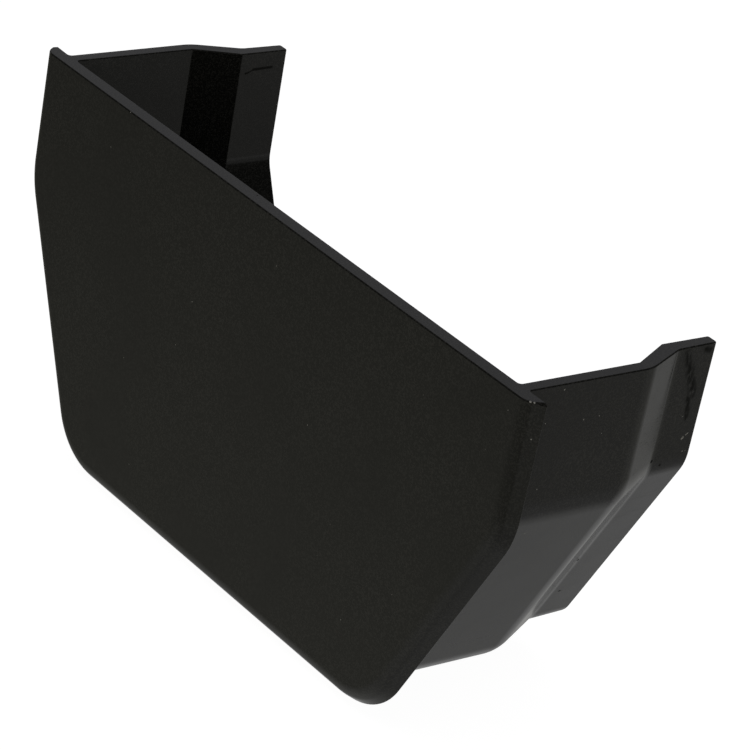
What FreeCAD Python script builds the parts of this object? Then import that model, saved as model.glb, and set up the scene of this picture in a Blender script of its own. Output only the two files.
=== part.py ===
import FreeCAD, Part
import math
import os

from FreeCAD import Vector

# One-piece moulded end cap for a square-section plastic rain gutter. Lengths are in millimetres.
# The origin is the middle of the open top, on the back of the flange, where the gutter's cut end butts.
# +X is to the right seen from the front, +Y runs along the gutter and into it, +Z is up.

# Flange outline: steep upper sides, lower sides that slope in, a flat bottom
flange_width = 114.0         # across the open top
flange_depth = 56.8          # from the open top to the bottom
bend_depth = 19.8            # from the open top to the bend in each side
upper_side_lean = 1.44       # degrees from upright
lower_side_lean = 26.8       # degrees from upright
corner_radius = 11.4         # the two lower corners

# Flange section, with an edge that slants out from the front to a sharp rear corner
flange_thickness = 2.33
edge_slant = 1.6             # how far the front edge lies in from the rear edge
front_edge_radius = 2.5
lip = 3.8                    # how far the flange stands out past the body at the sides
bottom_lip = 2.8             # the same below the body
outer_root_radius = 0.5      # where the body's outside meets the flange
inner_root_radius = 0.5      # where the body's inside meets the flange

# Wall section, with distances along the gutter taken from the back of the flange
body_wall = 1.95
spigot_wall = 1.85           # at its end
body_lean = 0.5              # degrees that the body draws in, away from the flange
spigot_lean = 2.0            # degrees that the spigot's outside draws in, towards its end
crown_start = 20.5           # to the joggle's start on the outside, as a sharp corner
hollow_start = 19.75         # to the joggle's start on the inside
joggle_step = 3.22           # how far the outside steps in
joggle_outer_angle = 24.4    # degrees from the gutter's axis
joggle_inner_angle = 27.2
joggle_crown_radius = 6.5    # soft bulge where the outside turns in
joggle_foot_radius = 0.6     # hollow where the outside runs on along the spigot
spigot_length = 6.75         # past the joggle, on the outside
end_edge_radius = 0.4        # on both edges of the spigot's end

# Inside radius of the spigot at the bend in each side: the body's and the flange's are concentric with it
spigot_bend_radius = 5.5

# Largest share of a wall that an edge radius may take up
edge_share = 0.45

# Working allowances
panel_overlap = 2.0          # how far the swept rim and the flat panel share the flange
foot_margin = 0.5            # how far the wall's foot spreads inside the flange, past each root radius
foot_depth = 1.0             # how deep the wall's foot reaches into the flange
trim_allowance = 4.0         # length built above the open top, then cut off level

# Slopes: how far the wall draws in for each millimetre along the gutter
body_slope = math.tan(math.radians(body_lean))
outer_slope = math.tan(math.radians(joggle_outer_angle))
inner_slope = math.tan(math.radians(joggle_inner_angle))
spigot_slope = math.tan(math.radians(spigot_lean))

# The wall is set in from an outline of its own, which lies lower than the flange's at the bottom
wall_depth = flange_depth + lip - bottom_lip

# Distances in from these outlines
body_inside = lip + body_wall
crown_outside = lip + crown_start * body_slope
hollow_inside = body_inside + hollow_start * body_slope
spigot_outside = crown_outside + joggle_step
end_outside = spigot_outside + spigot_length * spigot_slope
spigot_inside = end_outside + spigot_wall
panel_inset = body_inside + inner_root_radius

# Distances along the gutter
outer_foot = crown_start + joggle_step / outer_slope
inner_foot = hollow_start + (spigot_inside - hollow_inside) / inner_slope
reach = outer_foot + spigot_length


def rounded_chain(corners, closed):
    """Join (point, radius) corners with straight edges and tangent arcs."""
    edges = []
    first = None
    last = None
    for index, (corner, radius) in enumerate(corners):
        arrive = corner
        leave = corner
        arc = None
        if radius > 0:
            to_before = (corners[index - 1][0] - corner).normalize()
            to_after = (corners[(index + 1) % len(corners)][0] - corner).normalize()
            half_angle = to_before.getAngle(to_after) / 2
            tangent_length = radius / math.tan(half_angle)
            arrive = corner + to_before * tangent_length
            leave = corner + to_after * tangent_length
            bisector = (to_before + to_after).normalize()
            middle = corner + bisector * (radius / math.sin(half_angle) - radius)
            arc = Part.Arc(arrive, middle, leave).toShape()
        if last is None:
            first = arrive
        else:
            edges.append(Part.LineSegment(last, arrive).toShape())
        if arc:
            edges.append(arc)
        last = leave
    if closed:
        edges.append(Part.LineSegment(last, first).toShape())
    return Part.Wire(edges)


def outline_corners(depth, inset, rise):
    """Corners of an outline of this depth brought in by inset, left to right, with its ends at height rise."""
    upper = math.radians(upper_side_lean)
    lower = math.radians(lower_side_lean)
    half_top = flange_width / 2 - inset / math.cos(upper)
    inset_bend = bend_depth - inset * math.tan((lower - upper) / 2)
    half_bend = half_top - inset_bend * math.tan(upper)
    inset_depth = depth - inset
    half_bottom = half_bend - (inset_depth - inset_bend) * math.tan(lower)
    half_end = half_top + rise * math.tan(upper)
    bend_radius = spigot_bend_radius + spigot_inside - inset
    right = [
        (Vector(half_bottom, 0, -inset_depth), corner_radius - inset),
        (Vector(half_bend, 0, -inset_bend), bend_radius),
        (Vector(half_end, 0, rise), 0),
    ]
    left = [(Vector(-point.x, 0, point.z), radius) for point, radius in reversed(right)]
    return left + right


def rim_section():
    """Corners of the section through the flange's rim, as (along, inset, radius)."""
    rim_inside = panel_inset + panel_overlap
    edge_length = math.hypot(flange_thickness, edge_slant)
    half_turn = math.atan2(flange_thickness, edge_slant) / 2
    front_round = min(front_edge_radius, 2 * edge_share * edge_length / math.tan(half_turn))
    return [
        (-flange_thickness, rim_inside, 0),
        (-flange_thickness, edge_slant, front_round),
        (0, 0, 0),
        (0, rim_inside, 0),
    ]


def wall_section():
    """Corners of the section through the wall's foot, body, joggle and spigot, as (along, inset, radius)."""
    depth = min(foot_depth, edge_share * flange_thickness)
    foot_outside = lip - outer_root_radius - foot_margin
    foot_inside = body_inside + inner_root_radius + foot_margin
    end_round = min(end_edge_radius, edge_share * spigot_wall)
    return [
        (-depth, foot_outside, 0),
        (0, foot_outside, 0),
        (0, lip, outer_root_radius),
        (crown_start, crown_outside, joggle_crown_radius),
        (outer_foot, spigot_outside, joggle_foot_radius),
        (reach, end_outside, end_round),
        (reach, spigot_inside, end_round),
        (inner_foot, spigot_inside, 0),
        (hollow_start, hollow_inside, 0),
        (0, body_inside, inner_root_radius),
        (0, foot_inside, 0),
        (-depth, foot_inside, 0),
    ]


def swept(section_corners, depth):
    """Sweep a section round an outline of this depth, so that all its bends stay concentric."""
    corners = outline_corners(depth, 0, trim_allowance)
    start = corners[0][0]
    heading = (corners[1][0] - start).normalize()
    inward = Vector(-heading.z, 0, heading.x)
    placed = []
    for along, inset, radius in section_corners:
        placed.append((start + inward * inset + Vector(0, along, 0), radius))
    section = Part.Face(rounded_chain(placed, closed=True))
    return rounded_chain(corners, closed=False).makePipe(section)


def flat_panel():
    """The flange inside its rim, as a plate of the same thickness."""
    corners = outline_corners(flange_depth, panel_inset, trim_allowance)
    outline = rounded_chain(corners, closed=True)
    return Part.Face(outline).extrude(Vector(0, -flange_thickness, 0))


def level_top(solid):
    """Cut off level what was built above the open top."""
    width = 2 * flange_width
    length = 4 * reach
    corner = Vector(-width / 2, -length / 2, 0)
    return solid.cut(Part.makeBox(width, length, 2 * trim_allowance, corner))


def end_cap():
    rim = swept(rim_section(), flange_depth)
    wall = swept(wall_section(), wall_depth)
    moulding = rim.fuse([flat_panel(), wall])
    return level_top(moulding).removeSplitter().Solids[0]


def main():
    os.makedirs("parts", exist_ok=True)
    solid = end_cap()
    print("end_cap valid", solid.isValid(), "volume", round(solid.Volume, 1), "reach", round(reach, 2))
    solid.exportStep("parts/end_cap.step")


main()
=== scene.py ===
import math

import bmesh
import bpy
from mathutils import Matrix, Vector


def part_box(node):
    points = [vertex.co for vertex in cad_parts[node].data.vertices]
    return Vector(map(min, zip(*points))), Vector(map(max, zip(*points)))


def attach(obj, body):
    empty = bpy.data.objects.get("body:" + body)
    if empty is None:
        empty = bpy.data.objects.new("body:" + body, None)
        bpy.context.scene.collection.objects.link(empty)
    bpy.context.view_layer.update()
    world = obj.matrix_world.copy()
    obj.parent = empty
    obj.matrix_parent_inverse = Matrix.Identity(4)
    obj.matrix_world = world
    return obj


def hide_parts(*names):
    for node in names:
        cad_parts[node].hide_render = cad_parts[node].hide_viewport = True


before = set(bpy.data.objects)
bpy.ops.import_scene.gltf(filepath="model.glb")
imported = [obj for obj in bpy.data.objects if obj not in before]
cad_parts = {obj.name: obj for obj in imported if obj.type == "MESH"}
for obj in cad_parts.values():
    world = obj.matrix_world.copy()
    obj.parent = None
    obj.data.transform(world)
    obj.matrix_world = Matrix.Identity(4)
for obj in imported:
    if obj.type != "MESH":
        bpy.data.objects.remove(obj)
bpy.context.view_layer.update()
capLow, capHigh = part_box("end_cap")
mm = 0.001
print("frame loaded, nodes:", sorted(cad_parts))

# Camera, at the photo's viewing angle
viewpoint = {
    "target": (2.384, 19.11, -26.093),  # mm, the point in the middle of the picture
    "distance": 542.53,  # mm
    "azimuth": 48.878,  # degrees from straight in front, towards the right
    "elevation": 25.451,
    "roll": 10.958,  # the picture's right side is turned upwards by this
    "lens": 189.47,
    "sensor": 36.0,
    "nearest": 0.01,  # m, where the camera starts to see
    "furthest": 50,  # m
}


def makeCamera():
    azimuth = math.radians(viewpoint["azimuth"])
    elevation = math.radians(viewpoint["elevation"])
    roll = math.radians(viewpoint["roll"])
    back = Vector((math.sin(azimuth) * math.cos(elevation),
                   -math.cos(azimuth) * math.cos(elevation),
                   math.sin(elevation)))
    level = Vector((0, 0, 1)).cross(back).normalized()
    upright = back.cross(level)
    right = level * math.cos(roll) + upright * math.sin(roll)
    up = upright * math.cos(roll) - level * math.sin(roll)
    place = (Vector(viewpoint["target"]) + back * viewpoint["distance"]) * mm
    camera = bpy.data.objects.new("photoCamera", bpy.data.cameras.new("photoCamera"))
    camera.data.lens = viewpoint["lens"]
    camera.data.sensor_width = viewpoint["sensor"]
    camera.data.sensor_fit = "HORIZONTAL"
    camera.data.clip_start = viewpoint["nearest"]
    camera.data.clip_end = viewpoint["furthest"]
    turn = Matrix((right, up, back)).transposed().to_4x4()
    camera.matrix_world = Matrix.Translation(place) @ turn
    bpy.context.scene.collection.objects.link(camera)
    bpy.context.scene.camera = camera


makeCamera()
print("camera ready")


# Small helpers for the node trees below
def addNode(tree, kind, inputs=None, **settings):
    node = tree.nodes.new(kind)
    for name, value in settings.items():
        setattr(node, name, value)
    for name, value in (inputs or {}).items():
        if isinstance(value, bpy.types.NodeSocket):
            tree.links.new(value, node.inputs[name])
        else:
            node.inputs[name].default_value = value
    return node


def calc(tree, operation, first, second=0.0):
    return addNode(tree, "ShaderNodeMath", {0: first, 1: second}, operation=operation).outputs[0]


def vectorMath(tree, operation, first, second=(0, 0, 0), output=0):
    node = addNode(tree, "ShaderNodeVectorMath", {0: first, 1: second}, operation=operation)
    return node.outputs[output]


def scaled(tree, vector, amount):
    node = addNode(tree, "ShaderNodeVectorMath", {0: vector, "Scale": amount}, operation="SCALE")
    return node.outputs[0]


# Soft step from 0 to 1 while the value goes from start to end
def fade(tree, value, start, end):
    node = addNode(tree, "ShaderNodeMapRange", {"Value": value, "From Min": start, "From Max": end},
                   interpolation_type="SMOOTHSTEP")
    return node.outputs["Result"]


# Studio: white floor, soft lights, and a dim surround with pale cards that the gloss mirrors
studio = {
    "white": (1, 1, 1, 1),
    "floorSize": 6.0,  # m
    "floorGlow": 0.97,
    "floorColour": (0.25, 0.25, 0.25, 1),
    "overheadSize": 1.6,  # m
    "overheadHeight": 1.4,  # m
    "overheadPower": 6.5,
    "keyPlace": (0.62, -0.62, 0.10),  # m
    "keySize": 0.5,  # m
    "keyPower": 1.2,
    "keyColour": (1.0, 0.97, 0.88),
    "surround": [  # height of the direction from straight down to straight up, and the colour there
        (-1.0, (0.31, 0.31, 0.30)),
        (-0.72, (0.23, 0.23, 0.22)),
        (-0.50, (0.150, 0.149, 0.128)),
        (-0.38, (0.104, 0.103, 0.086)),
        (-0.15, (0.065, 0.065, 0.060)),
        (0.15, (0.04, 0.04, 0.04)),
        (0.50, (0.015, 0.015, 0.015)),
    ],
    # far cards: where each stands, half width and soft margin in degrees, the light it adds or takes
    "cards": [
        ((0.58, 0.66, -0.48), 4.0, 22.0, (0.125, 0.125, 0.132)),
        ((0.77, 0.60, -0.17), 5.5, 4.5, (0.15, 0.15, 0.15)),
        ((0.795, -0.42, -0.40), 10.0, 14.0, (0.12, 0.12, 0.115)),
        ((0.20, -0.86, -0.45), 12.0, 15.0, (0.060, 0.060, 0.055)),
        ((0.42, 0.59, -0.68), 6.0, 12.0, (-0.065, -0.065, -0.060)),
        ((1.0, 0.0, -0.04), 11.0, 9.0, (0.30, 0.30, 0.30)),
        ((-1.0, 0.0, -0.04), 11.0, 9.0, (0.30, 0.30, 0.30)),
        ((-0.70, 0.59, 0.40), 14.0, 16.0, (0.20, 0.20, 0.21)),
        ((-0.40, -0.55, -0.73), 14.0, 24.0, (0.10, 0.10, 0.09)),
    ],
}

# Pale sheet on the ground behind, placed by how far off it lies for each step below eye level
paleSheet = {
    "edge": 0.36,  # right-hand edge
    "edgeBlur": 0.10,  # half width of that edge, where the sheet is near
    "edgeBlurGain": 0.56,  # more blur for each step further back
    "nearStep": 0.84,
    "left": (-2.2, -1.4),  # fades in towards the right
    "near": (0.0, 0.6),  # fades in towards the back
    "far": (5.0, 3.0),  # fades out further back
    "brighter": (0.82, 0.91),  # where the level goes up
    "slant": 0.44,  # turn of that step across the sheet
    "nearLevel": 0.09,
    "farLevel": 0.20,
    "tint": (1.0, 1.0, 1.05),
    "leastDrop": 0.05,  # keeps the distance finite at eye level and above
}


# Light that the sheet adds to the surround
def sheetLight(tree, parts):
    sheet = paleSheet
    below = calc(tree, "MAXIMUM", calc(tree, "MULTIPLY", parts["Z"], -1.0), sheet["leastDrop"])
    across = calc(tree, "DIVIDE", parts["X"], below)
    back = calc(tree, "DIVIDE", parts["Y"], below)
    steps = calc(tree, "MAXIMUM", calc(tree, "SUBTRACT", back, sheet["nearStep"]), 0.0)
    blur = calc(tree, "ADD", calc(tree, "MULTIPLY", steps, sheet["edgeBlurGain"]), sheet["edgeBlur"])
    outer = calc(tree, "ADD", blur, sheet["edge"])
    inner = calc(tree, "SUBTRACT", sheet["edge"], blur)
    cover = fade(tree, across, outer, inner)
    for value, ends in ((across, "left"), (back, "near"), (back, "far")):
        cover = calc(tree, "MULTIPLY", cover, fade(tree, value, *sheet[ends]))
    turned = calc(tree, "SUBTRACT", back, calc(tree, "MULTIPLY", across, sheet["slant"]))
    brighter = fade(tree, turned, *sheet["brighter"])
    rise = calc(tree, "MULTIPLY", brighter, sheet["farLevel"] - sheet["nearLevel"])
    level = calc(tree, "MULTIPLY", cover, calc(tree, "ADD", rise, sheet["nearLevel"]))
    return scaled(tree, sheet["tint"], level)


def makeSurround():
    world = bpy.data.worlds.new("studioSurround")
    world.use_nodes = True
    tree = world.node_tree
    tree.nodes.clear()
    direction = addNode(tree, "ShaderNodeTexCoord").outputs["Generated"]
    parts = addNode(tree, "ShaderNodeSeparateXYZ", {0: direction}).outputs
    share = addNode(tree, "ShaderNodeMapRange", {"Value": parts["Z"], "From Min": -1.0, "From Max": 1.0})
    ramp = addNode(tree, "ShaderNodeValToRGB", {"Fac": share.outputs["Result"]})
    stops = ramp.color_ramp.elements
    stops.remove(stops[-1])
    for index, (level, colour) in enumerate(studio["surround"]):
        stop = stops[0] if index == 0 else stops.new(0.5)
        stop.position = (level + 1) / 2
        stop.color = (*colour, 1)
    total = vectorMath(tree, "ADD", ramp.outputs["Color"], sheetLight(tree, parts))
    for place, halfWidth, margin, colour in studio["cards"]:
        towards = vectorMath(tree, "DOT_PRODUCT", direction, Vector(place).normalized(), "Value")
        rim = math.cos(math.radians(halfWidth + margin))
        full = math.cos(math.radians(halfWidth))
        total = vectorMath(tree, "ADD", total, scaled(tree, colour, fade(tree, towards, rim, full)))
    gloss = addNode(tree, "ShaderNodeBackground", {"Color": total, "Strength": 1.0})
    backdrop = addNode(tree, "ShaderNodeBackground", {"Color": studio["white"], "Strength": 1.0})
    path = addNode(tree, "ShaderNodeLightPath")
    seen = addNode(tree, "ShaderNodeMixShader",
                   {0: path.outputs["Is Camera Ray"], 1: gloss.outputs[0], 2: backdrop.outputs[0]})
    addNode(tree, "ShaderNodeOutputWorld", {"Surface": seen.outputs[0]})
    bpy.context.scene.world = world


def makeFloor():
    paint = bpy.data.materials.new("paleFloor")
    paint.use_nodes = True
    shader = paint.node_tree.nodes["Principled BSDF"]
    shader.inputs["Base Color"].default_value = studio["floorColour"]
    shader.inputs["Roughness"].default_value = 1.0
    shader.inputs["Specular IOR Level"].default_value = 0.0
    shader.inputs["Emission Color"].default_value = studio["white"]
    shader.inputs["Emission Strength"].default_value = studio["floorGlow"]
    half = studio["floorSize"] / 2
    corners = [(-half, -half), (half, -half), (half, half), (-half, half)]
    mesh = bpy.data.meshes.new("floor")
    mesh.from_pydata([(x, y, capLow.z) for x, y in corners], [], [(0, 1, 2, 3)])
    mesh.materials.append(paint)
    floor = bpy.data.objects.new("floor", mesh)
    bpy.context.scene.collection.objects.link(floor)
    floor.visible_glossy = False
    floor.visible_diffuse = False


def makeLights():
    overhead = bpy.data.lights.new("overheadLight", "AREA")
    overhead.size = studio["overheadSize"]
    overhead.energy = studio["overheadPower"]
    key = bpy.data.lights.new("keyLight", "AREA")
    key.size = studio["keySize"]
    key.energy = studio["keyPower"]
    key.color = studio["keyColour"]
    middle = (capLow + capHigh) / 2
    above = Vector((0, 0, studio["overheadHeight"]))
    for lamp, place in ((overhead, above), (key, Vector(studio["keyPlace"]))):
        lamp.shape = "SQUARE"
        light = bpy.data.objects.new(lamp.name, lamp)
        light.location = place
        light.rotation_euler = (place - middle).to_track_quat("Z", "Y").to_euler()
        light.visible_glossy = False
        bpy.context.scene.collection.objects.link(light)


makeSurround()
makeFloor()
makeLights()
bpy.context.scene.view_settings.view_transform = "Standard"
print("studio ready")

# End cap: one wall section carried round the gutter outline, and a flat plate across the front
endCap = {  # mm and degrees; width, depth, plate thickness and reach come from the solid
    "width": (capHigh.x - capLow.x) / mm,
    "depth": -capLow.z / mm,
    "plate": -capLow.y / mm,
    "reach": capHigh.y / mm,
    "bendDepth": 19.8,
    "upperLean": 1.44,
    "lowerLean": 26.8,
    "edgeSlant": 1.6,  # how far the plate's front edge lies in from its rear edge
    "cornerRadius": 11.4,
    "lip": 3.8,
    "bottomLip": 2.8,
    "bodyWall": 1.95,
    "spigotWall": 1.85,  # at its end
    "bodyLean": 0.5,
    "spigotLean": 2.0,
    "crownStart": 20.5,
    "hollowStart": 19.75,
    "joggleStep": 3.22,
    "joggleOuterAngle": 24.4,
    "joggleInnerAngle": 27.2,
    "spigotBendRadius": 5.5,
    "plateOverlap": 2.5,  # flat margin of the swept rim, past the body wall
    "frontRadius": 2.5,
    "rearRadius": 0.1,
    "rootRadius": 0.5,
    "crownRadius": 6.5,
    "footRadius": 3.0,
    "endRadius": 0.4,
    "creaseRadius": 0.3,
    "topRadius": 0.2,
    "topShare": 0.9,  # most of the rear corner's radius that the top's rounding takes up
    "wornTips": [  # flats worn off the plate's top tips: which way each faces, how deep it goes
        ((-0.80, 0.10, 0.59), 0.60),
        ((0.62, -0.27, 0.74), 0.34),
    ],
    "backMargin": 0.01,  # points this near the plate's back count as on it
    "flatWeight": 100,  # how strongly large faces set the shading
    "topSteps": 4,
    "outlineSteps": 16,
    "sectionSteps": 8,
}


# The wall's corners: along the gutter, in from the outline, edge radius
def wallCorners():
    cap = endCap
    drawIn = math.tan(math.radians(cap["bodyLean"]))
    outerSlope = math.tan(math.radians(cap["joggleOuterAngle"]))
    innerSlope = math.tan(math.radians(cap["joggleInnerAngle"]))
    crownInset = cap["lip"] + cap["crownStart"] * drawIn
    bodyInside = cap["lip"] + cap["bodyWall"]
    hollowInset = bodyInside + cap["hollowStart"] * drawIn
    spigotOutside = crownInset + cap["joggleStep"]
    outerFoot = cap["crownStart"] + cap["joggleStep"] / outerSlope
    endOutside = spigotOutside + (cap["reach"] - outerFoot) * math.tan(math.radians(cap["spigotLean"]))
    spigotInside = endOutside + cap["spigotWall"]
    innerFoot = cap["hollowStart"] + (spigotInside - hollowInset) / innerSlope
    rimInside = bodyInside + cap["plateOverlap"]
    return [
        (-cap["plate"], rimInside, 0),
        (-cap["plate"], cap["edgeSlant"], cap["frontRadius"]),
        (0, 0, cap["rearRadius"]),
        (0, cap["lip"], cap["rootRadius"]),
        (cap["crownStart"], crownInset, cap["crownRadius"]),
        (outerFoot, spigotOutside, cap["footRadius"]),
        (cap["reach"], endOutside, cap["endRadius"]),
        (cap["reach"], spigotInside, cap["endRadius"]),
        (innerFoot, spigotInside, cap["creaseRadius"]),
        (cap["hollowStart"], hollowInset, cap["creaseRadius"]),
        (0, bodyInside, cap["rootRadius"]),
        (0, rimInside, 0),
    ]


# How far in the spigot's inside lies
def deepestInset():
    return max(inset for along, inset, radius in wallCorners())


# The right side's two leans, and half the width at the open top and at the bend
def rightSide():
    upper = math.radians(endCap["upperLean"])
    lower = math.radians(endCap["lowerLean"])
    halfTop = endCap["width"] / 2
    halfBend = halfTop - endCap["bendDepth"] * math.tan(upper)
    return upper, lower, halfTop, halfBend


# Outline of this depth; the wall's lies lower than the plate's by the difference in lip
def outlineCorners(depth):
    upper, lower, halfTop, halfBend = rightSide()
    halfBottom = halfBend - (depth - endCap["bendDepth"]) * math.tan(lower)
    right = [
        (halfBottom, -depth, endCap["cornerRadius"]),
        (halfBend, -endCap["bendDepth"], endCap["spigotBendRadius"] + deepestInset()),
        (halfTop, 0, 0),
    ]
    left = [(-x, z, radius) for x, z, radius in reversed(right)]
    return [((x, 0, z), radius) for x, z, radius in left + right]


def sectionCorners():
    return [((along, inset, 0), radius) for along, inset, radius in wallCorners()]


# Corner points as an open curve, each with its edge radius in the point's radius
def cornerCurve(name, corners):
    curve = bpy.data.curves.new(name, "CURVE")
    curve.dimensions = "3D"
    spline = curve.splines.new("POLY")
    spline.points.add(len(corners) - 1)
    for point, (place, radius) in zip(spline.points, corners):
        point.co = (*(Vector(place) * mm), 1)
        point.radius = radius * mm
    made = bpy.data.objects.new(name, curve)
    bpy.context.scene.collection.objects.link(made)
    return made


# Round every corner of a curve by its own radius
def roundCorners(tree, curve, steps):
    radius = addNode(tree, "GeometryNodeInputRadius").outputs[0]
    fillet = addNode(tree, "GeometryNodeFilletCurve", {"Curve": curve, "Radius": radius, "Count": steps},
                     mode="POLY")
    unit = addNode(tree, "GeometryNodeSetCurveRadius", {"Curve": fillet.outputs[0], "Radius": 1.0})
    return unit.outputs[0]


# Store values on a curve's points, so that they last through the sweep
def keepOnPoints(tree, curve, values):
    node = addNode(tree, "GeometryNodeCaptureAttribute", {"Geometry": curve}, domain="POINT")
    for name, kind, value in values:
        node.capture_items.new(kind, name)
        tree.links.new(value, node.inputs[name])
    return node.outputs


def sweepTree():
    tree = bpy.data.node_groups.new("wallSweep", "GeometryNodeTree")
    sockets = [
        ("Outline", "Geometry"),
        ("Wall Outline", "Object"),
        ("Section", "Object"),
        ("Lip Middle", "Float"),
        ("Outline Steps", "Int"),
        ("Section Steps", "Int"),
        ("Plastic", "Material"),
    ]
    for name, kind in sockets:
        tree.interface.new_socket(name, in_out="INPUT", socket_type="NodeSocket" + kind)
    tree.interface.new_socket("Wall", in_out="OUTPUT", socket_type="NodeSocketGeometry")
    given = addNode(tree, "NodeGroupInput").outputs
    wallInfo = addNode(tree, "GeometryNodeObjectInfo", {"Object": given["Wall Outline"]})
    sectionInfo = addNode(tree, "GeometryNodeObjectInfo", {"Object": given["Section"]})
    outline = roundCorners(tree, given["Outline"], given["Outline Steps"])
    section = roundCorners(tree, sectionInfo.outputs["Geometry"], given["Section Steps"])
    wallOutline = roundCorners(tree, wallInfo.outputs["Geometry"], given["Outline Steps"])
    upright = addNode(tree, "GeometryNodeSetCurveNormal", {"Curve": outline, "Normal": (0, 1, 0)},
                      mode="FREE")

    # remember the ends, their direction and the way to the wall's own outline
    position = addNode(tree, "GeometryNodeInputPosition").outputs[0]
    index = addNode(tree, "GeometryNodeInputIndex").outputs[0]
    onWall = addNode(tree, "GeometryNodeSampleIndex",
                     {"Geometry": wallOutline, "Value": position, "Index": index}, data_type="FLOAT_VECTOR")
    ends = addNode(tree, "GeometryNodeCurveEndpointSelection").outputs[0]
    heading = addNode(tree, "GeometryNodeInputTangent").outputs[0]
    kept = keepOnPoints(tree, upright.outputs[0], [
        ("End", "BOOLEAN", ends),
        ("Heading", "VECTOR", heading),
        ("Apart", "VECTOR", vectorMath(tree, "SUBTRACT", onWall.outputs[0], position)),
    ])

    # points on the plate's edge and front stay on its outline, those of the wall move to the wall's
    spot = addNode(tree, "ShaderNodeSeparateXYZ", {0: position}).outputs
    behind = calc(tree, "GREATER_THAN", spot["X"], -endCap["backMargin"] * mm)
    within = calc(tree, "GREATER_THAN", spot["Y"], given["Lip Middle"])
    moved = keepOnPoints(tree, section, [("Share", "FLOAT", calc(tree, "MULTIPLY", behind, within))])

    # carry the section round, then level the open top
    swept = addNode(tree, "GeometryNodeCurveToMesh",
                    {"Curve": kept["Geometry"], "Profile Curve": moved["Geometry"]})
    drop = scaled(tree, kept["Apart"], moved["Share"])
    lowered = addNode(tree, "GeometryNodeSetPosition", {"Geometry": swept.outputs[0], "Offset": drop})
    lean = addNode(tree, "ShaderNodeSeparateXYZ", {0: kept["Heading"]}).outputs
    rise = calc(tree, "DIVIDE", spot["Z"], lean["Z"])
    slide = scaled(tree, kept["Heading"], calc(tree, "MULTIPLY", rise, -1.0))
    level = addNode(tree, "GeometryNodeSetPosition",
                    {"Geometry": lowered.outputs[0], "Offset": slide, "Selection": kept["End"]})
    real = addNode(tree, "GeometryNodeRealizeInstances", {"Geometry": level.outputs[0]})
    finish = addNode(tree, "GeometryNodeSetMaterial",
                     {"Geometry": real.outputs[0], "Material": given["Plastic"]})
    addNode(tree, "NodeGroupOutput", {"Wall": finish.outputs[0]})
    return tree


def inputNames(tree):
    return {item.name: item.identifier for item in tree.interface.items_tree if item.in_out == "INPUT"}


# Sweep the wall round the outline, as a plain mesh
def sweepWall(plastic):
    outline = cornerCurve("outlineCorners", outlineCorners(endCap["depth"]))
    wallDepth = endCap["depth"] + endCap["lip"] - endCap["bottomLip"]
    wallOutline = cornerCurve("wallOutlineCorners", outlineCorners(wallDepth))
    section = cornerCurve("sectionCorners", sectionCorners())
    tree = sweepTree()
    sweep = outline.modifiers.new("wallSweep", "NODES")
    sweep.node_group = tree
    names = inputNames(tree)
    sweep[names["Wall Outline"]] = wallOutline
    sweep[names["Section"]] = section
    sweep[names["Lip Middle"]] = endCap["lip"] / 2 * mm
    sweep[names["Outline Steps"]] = endCap["outlineSteps"]
    sweep[names["Section Steps"]] = endCap["sectionSteps"]
    sweep[names["Plastic"]] = plastic
    graph = bpy.context.evaluated_depsgraph_get()
    mesh = bpy.data.meshes.new_from_object(outline.evaluated_get(graph), depsgraph=graph)
    outline.modifiers.remove(sweep)
    for curve in (outline, wallOutline, section):
        bpy.data.objects.remove(curve)
    return mesh


# Rounding of the open top's edge at each point of one section, in mm
def topRadii():
    perCorner = endCap["sectionSteps"] + 1
    radii = [endCap["topRadius"]]
    for along, inset, radius in wallCorners()[1:-1]:
        size = endCap["topRadius"]
        if inset == 0:  # the plate's rear corner
            size = min(size, endCap["topShare"] * radius)
        radii += [size] * perCorner
    return radii + [endCap["topRadius"]]


# Roll the top's edge over in a quarter round, from the walls onto a flat top face
def closeTop(shell, loop, radii):
    spots = [point.co.xy for point in loop]
    following = spots[1:] + spots[:1]
    turn = sum(here.cross(after) for here, after in zip(spots, following))
    sides = [(after - here).normalized() for here, after in zip(spots, following)]
    inward = [Vector((-side.y, side.x)) * math.copysign(1, turn) for side in sides]
    before = inward[-1:] + inward[:-1]
    mitres = [(first + second) / (1 + first.dot(second)) for first, second in zip(before, inward)]
    rings = [loop]
    for step in range(1, endCap["topSteps"] + 1):
        angle = math.pi / 2 * step / endCap["topSteps"]
        ring = []
        for spot, mitre, radius in zip(spots, mitres, radii):
            place = spot + mitre * radius * mm * (1 - math.cos(angle))
            ring.append(shell.verts.new((place.x, place.y, -radius * mm * (1 - math.sin(angle)))))
        rings.append(ring)
    for point, radius in zip(loop, radii):
        point.co.z = -radius * mm
    for below, above in zip(rings, rings[1:]):
        for index in range(len(loop)):
            shell.faces.new((below[index - 1], below[index], above[index], above[index - 1]))
    shell.faces.new(rings[-1])


# Cut a small flat off the top of the plate's left and right edges, where the photo shows wear
def wearTips(shell):
    for facing, depth in endCap["wornTips"]:
        tip = Vector((math.copysign(endCap["width"] / 2, facing[0]), 0, 0))
        facing = Vector(facing).normalized()
        whole = shell.verts[:] + shell.edges[:] + shell.faces[:]
        cut = bmesh.ops.bisect_plane(shell, geom=whole, plane_co=(tip - facing * depth) * mm,
                                     plane_no=facing, clear_outer=True)
        rim = [part for part in cut["geom_cut"] if isinstance(part, bmesh.types.BMEdge)]
        bmesh.ops.holes_fill(shell, edges=rim)
        for edge in rim:
            edge.smooth = False


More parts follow.
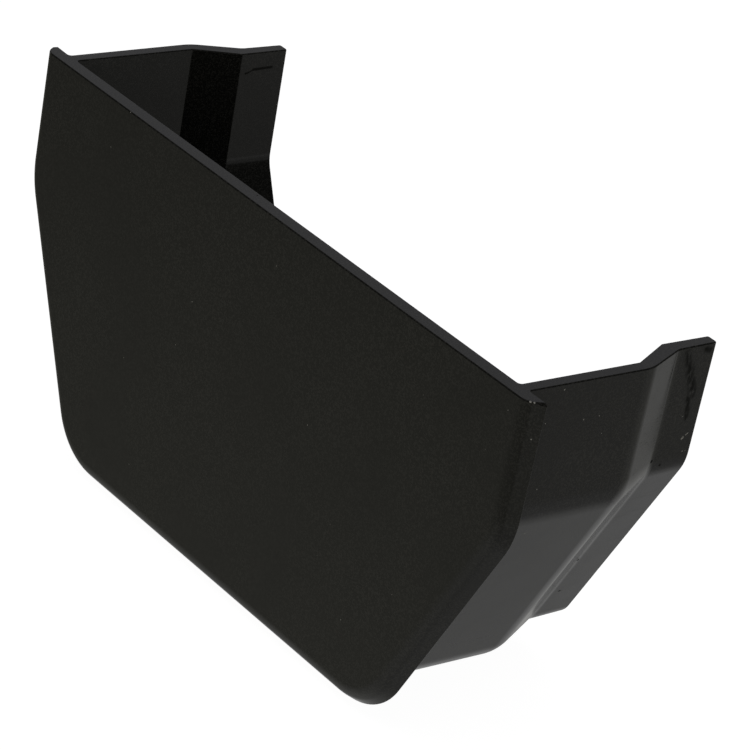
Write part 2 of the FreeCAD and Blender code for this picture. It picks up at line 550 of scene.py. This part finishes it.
# Close the plate's two faces and the open top
def closeWall(mesh):
    radii = topRadii()
    perSection = len(radii)
    shell = bmesh.new()
    shell.from_mesh(mesh)
    points = list(shell.verts)
    rows = [points[start:start + perSection] for start in range(0, len(points), perSection)]
    shell.faces.new([row[0] for row in rows])
    shell.faces.new([row[-1] for row in rows])
    closeTop(shell, rows[0] + rows[-1][::-1], radii + radii[::-1])
    wearTips(shell)
    bmesh.ops.recalc_face_normals(shell, faces=shell.faces)
    for face in shell.faces:
        face.smooth = True
        face.material_index = 0
    shell.to_mesh(mesh)
    shell.free()


def makeEndCap(plastic):
    mesh = sweepWall(plastic)
    closeWall(mesh)
    mesh.name = "endCapMoulding"
    cap = bpy.data.objects.new("endCapMoulding", mesh)
    bpy.context.scene.collection.objects.link(cap)
    flats = cap.modifiers.new("flatShading", "WEIGHTED_NORMAL")
    flats.weight = endCap["flatWeight"]
    flats.keep_sharp = True
    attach(cap, "root")
    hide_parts("end_cap")
    print("end cap:", len(mesh.vertices), "points,", len(mesh.polygons), "faces")


# Gloss black PVC: mottled gloss, a dust film, scuffs along the gutter, specks and marks, dark streaks,
# painted glints on the plate's top and a painted shade line inside the spigot
plasticLook = {  # sizes in mm; each cover gives the two noise levels between which that layer comes in
    "black": (0.0105, 0.0105, 0.0092, 1),
    # pale tone of the dust, also given to the painted glints on the plate's top
    "dustAndGlint": (0.42, 0.41, 0.38, 1),
    "refraction": 1.5,
    "film": 0.065,  # most of the dust that the film lays on the black
    "filmGrain": 0.27,
    "filmGrainCover": (0.45, 0.62),
    "filmPatch": 22.0,
    "filmPatchCover": (0.0, 0.7),
    "gloss": (0.10, 0.19),  # roughness, from the glossiest to the dullest patch
    "glossPatch": 9.0,
    "glossPatchCover": (0.3, 0.7),
    "ripple": 4.0,
    "rippleDepth": 0.012,
    "grainDepth": 0.0010,
    "scuffWidth": 0.35,
    "scuffLength": 18.0,
    "scuffCover": (0.62, 0.74),
    "scuffRoughness": 0.10,
    "speckSpacing": 4.0,
    "speckRadius": 0.11,
    "markRoughness": 0.85,
    "paleFirm": 0.5,  # share of a mark's radius that it covers fully
    "darkFirm": 0.3,
    "streakFirm": 0.0,
    "streakGrain": 0.5,
    "streakSquash": 0.4,  # below 1, the dark streaks' grain is drawn out downwards
    "streakCover": (0.26, 0.56),
    # right wall's outside: place along the gutter and below the open top, a streak's other end, radius
    "paleMarks": [
        ((5.9, 0.8), None, 0.14),
        ((10.4, 5.8), None, 0.13),
        ((13.0, 5.7), None, 0.10),
        ((4.0, 5.3), None, 0.12),
        ((-0.9, 5.1), None, 0.12),
        ((3.3, 9.4), None, 0.16),
        ((5.2, 15.0), None, 0.10),
        ((6.8, 22.8), None, 0.14),
        ((21.9, 28.2), None, 0.12),
        ((0.0, 24.9), None, 0.14),
        ((0.0, 35.2), None, 0.14),
        ((32.2, 14.0), (32.4, 13.8), 0.20),
        ((32.8, 13.5), (33.1, 13.3), 0.12),
        ((32.9, 16.0), None, 0.14),
        ((33.4, 16.0), None, 0.10),
        ((31.3, 10.5), None, 0.09),
    ],
    "darkMarks": [
        ((27.5, 16.5), None, 0.42),
        ((29.4, 17.5), None, 0.44),
        ((27.6, 36.3), None, 0.38),
        ((29.2, 43.5), None, 0.32),
    ],
    "darkStreaks": [  # soft dark streaks near the spigot's end
        ((29.3, 0.9), (30.1, 2.8), 1.3),
        ((30.4, 3.2), (32.1, 7.2), 1.7),
        ((31.5, 7.8), (32.1, 10.8), 1.0),
        ((32.3, 0.7), (33.3, 1.0), 1.0),
    ],
    "ledgeShade": [  # painted shade: a dark line inside the spigot, on the left, standing in for the shade under a small ledge
        ((28.6, 2.6), (31.9, 2.5), 0.34),
        ((27.8, 3.0), (28.6, 2.6), 0.18),
        ((27.3, 3.1), (27.8, 3.0), 0.26),
    ],
    # on the plate's top, as places from the origin; the pale ones are painted highlight, two glints near
    # its right-hand end
    "topGlints": [
        ((55.6, -1.75, -0.05), None, 0.19),
        ((55.98, -1.38, -0.05), None, 0.17),
    ],
    "topDark": [((-5.3, -0.6, 0.0), None, 0.20)],
}


# Point on the right wall, in from the outline by this inset
def wallPoint(along, down, inset):
    upper, lower, halfTop, halfBend = rightSide()
    onUpper = halfTop - down * math.tan(upper) - inset / math.cos(upper)
    onLower = halfBend - (down - endCap["bendDepth"]) * math.tan(lower) - inset / math.cos(lower)
    return Vector((min(onUpper, onLower), along, -down))


# The outside runs from the plate's front edge to the spigot's end
def rightOutside(place):
    along, down = place
    corners = [(at, inset) for at, inset, radius in wallCorners()[1:7]]
    for (start, first), (end, last) in zip(corners, corners[1:]):
        if start <= along <= end:
            return wallPoint(along, down, first + (last - first) * (along - start) / (end - start))


def leftInside(place):
    point = wallPoint(*place, deepestInset())
    return Vector((-point.x, point.y, point.z))


# Marks with their places turned into points
def placed(marks, toPoint):
    return [(toPoint(start), toPoint(end) if end else None, radius) for start, end, radius in marks]


# How much each point is covered by a list of marks, fully so within this share of their radius
def markCover(tree, place, marks, firm):
    cover = 0.0
    for start, end, radius in marks:
        away = vectorMath(tree, "SUBTRACT", place, start * mm)
        if end:
            run = (end - start) * mm
            along = vectorMath(tree, "DOT_PRODUCT", away, run / run.length_squared, "Value")
            along = calc(tree, "MINIMUM", calc(tree, "MAXIMUM", along, 0.0), 1.0)
            away = vectorMath(tree, "SUBTRACT", away, scaled(tree, run, along))
        gap = vectorMath(tree, "LENGTH", away, output="Value")
        cover = calc(tree, "MAXIMUM", cover, fade(tree, gap, radius * mm, firm * radius * mm))
    return cover


def noise(tree, place, size, detail=2.0):
    node = addNode(tree, "ShaderNodeTexNoise",
                   {"Vector": place, "Scale": 1 / (size * mm), "Detail": detail})
    return node.outputs["Fac"]


def blend(tree, share, first, second):
    return addNode(tree, "ShaderNodeMix", {0: share, 6: first, 7: second}, data_type="RGBA").outputs[2]


def blackGloss():
    look = plasticLook
    material = bpy.data.materials.new("blackGloss")
    material.use_nodes = True
    tree = material.node_tree
    shader = tree.nodes["Principled BSDF"]
    place = addNode(tree, "ShaderNodeTexCoord").outputs["Object"]

    # dust film, in grains, thicker in patches
    grain = noise(tree, place, look["filmGrain"])
    patch = noise(tree, place, look["filmPatch"], detail=3.0)
    film = calc(tree, "MULTIPLY", fade(tree, grain, *look["filmGrainCover"]),
                fade(tree, patch, *look["filmPatchCover"]))
    film = calc(tree, "MULTIPLY", film, look["film"])

    # loose specks, and the marks that stand out; among them painted glints on the plate's top and a painted
    # shade line inside the spigot
    cells = addNode(tree, "ShaderNodeTexVoronoi",
                    {"Vector": place, "Scale": 1 / (look["speckSpacing"] * mm)})
    speckReach = look["speckRadius"] / look["speckSpacing"]
    specks = fade(tree, cells.outputs["Distance"], speckReach, look["paleFirm"] * speckReach)
    # dust specks, and pale points painted as glints on the plate's top
    paleSpots = placed(look["paleMarks"], rightOutside) + placed(look["topGlints"], Vector)
    pale = calc(tree, "MAXIMUM", specks, markCover(tree, place, paleSpots, look["paleFirm"]))
    # soft dark streaks near the spigot's end, darker in a grain drawn out downwards
    downwards = addNode(tree, "ShaderNodeMapping", {"Vector": place, "Scale": (1, 1, look["streakSquash"])})
    streakNoise = noise(tree, downwards.outputs[0], look["streakGrain"], detail=4.0)
    streakSpots = placed(look["darkStreaks"], rightOutside)
    streak = calc(tree, "MULTIPLY", markCover(tree, place, streakSpots, look["streakFirm"]),
                 fade(tree, streakNoise, *look["streakCover"]))
    # dark marks on the outside and the plate's top, and the painted shade line inside the spigot
    darkSpots = placed(look["darkMarks"], rightOutside) + placed(look["ledgeShade"], leftInside)
    darkSpots += placed(look["topDark"], Vector)
    dark = calc(tree, "MAXIMUM", markCover(tree, place, darkSpots, look["darkFirm"]), streak)
    colour = blend(tree, film, look["black"], look["dustAndGlint"])
    # dust specks and the painted glints take the pale tone
    colour = blend(tree, pale, colour, look["dustAndGlint"])
    # dark marks, dark streaks and the painted shade line take the black
    colour = blend(tree, dark, colour, look["black"])

    # gloss in patches, dulled by scuffs that run along the gutter and by the marks
    low, high = look["gloss"]
    patches = fade(tree, noise(tree, place, look["glossPatch"], detail=4.0), *look["glossPatchCover"])
    dull = calc(tree, "ADD", calc(tree, "MULTIPLY", patches, high - low), low)
    stretch = (1, look["scuffWidth"] / look["scuffLength"], 1)
    lengthways = addNode(tree, "ShaderNodeMapping", {"Vector": place, "Scale": stretch})
    scuffNoise = noise(tree, lengthways.outputs[0], look["scuffWidth"], detail=1.0)
    scuff = fade(tree, scuffNoise, *look["scuffCover"])
    dull = calc(tree, "ADD", dull, calc(tree, "MULTIPLY", scuff, look["scuffRoughness"]))
    marked = calc(tree, "MULTIPLY", calc(tree, "MAXIMUM", pale, dark), look["markRoughness"])
    dull = calc(tree, "MAXIMUM", dull, marked)

    # slight ripple of the moulded surface, and its grain
    ripple = addNode(tree, "ShaderNodeBump", {"Height": noise(tree, place, look["ripple"], detail=1.0),
                                              "Distance": look["rippleDepth"] * mm, "Strength": 1.0})
    fine = addNode(tree, "ShaderNodeBump", {"Height": grain, "Distance": look["grainDepth"] * mm,
                                            "Strength": 1.0, "Normal": ripple.outputs[0]})
    for name, value in (("Base Color", colour), ("Roughness", dull), ("Normal", fine.outputs[0])):
        tree.links.new(value, shader.inputs[name])
    shader.inputs["IOR"].default_value = look["refraction"]
    print("black gloss ready")
    return material


makeEndCap(blackGloss())
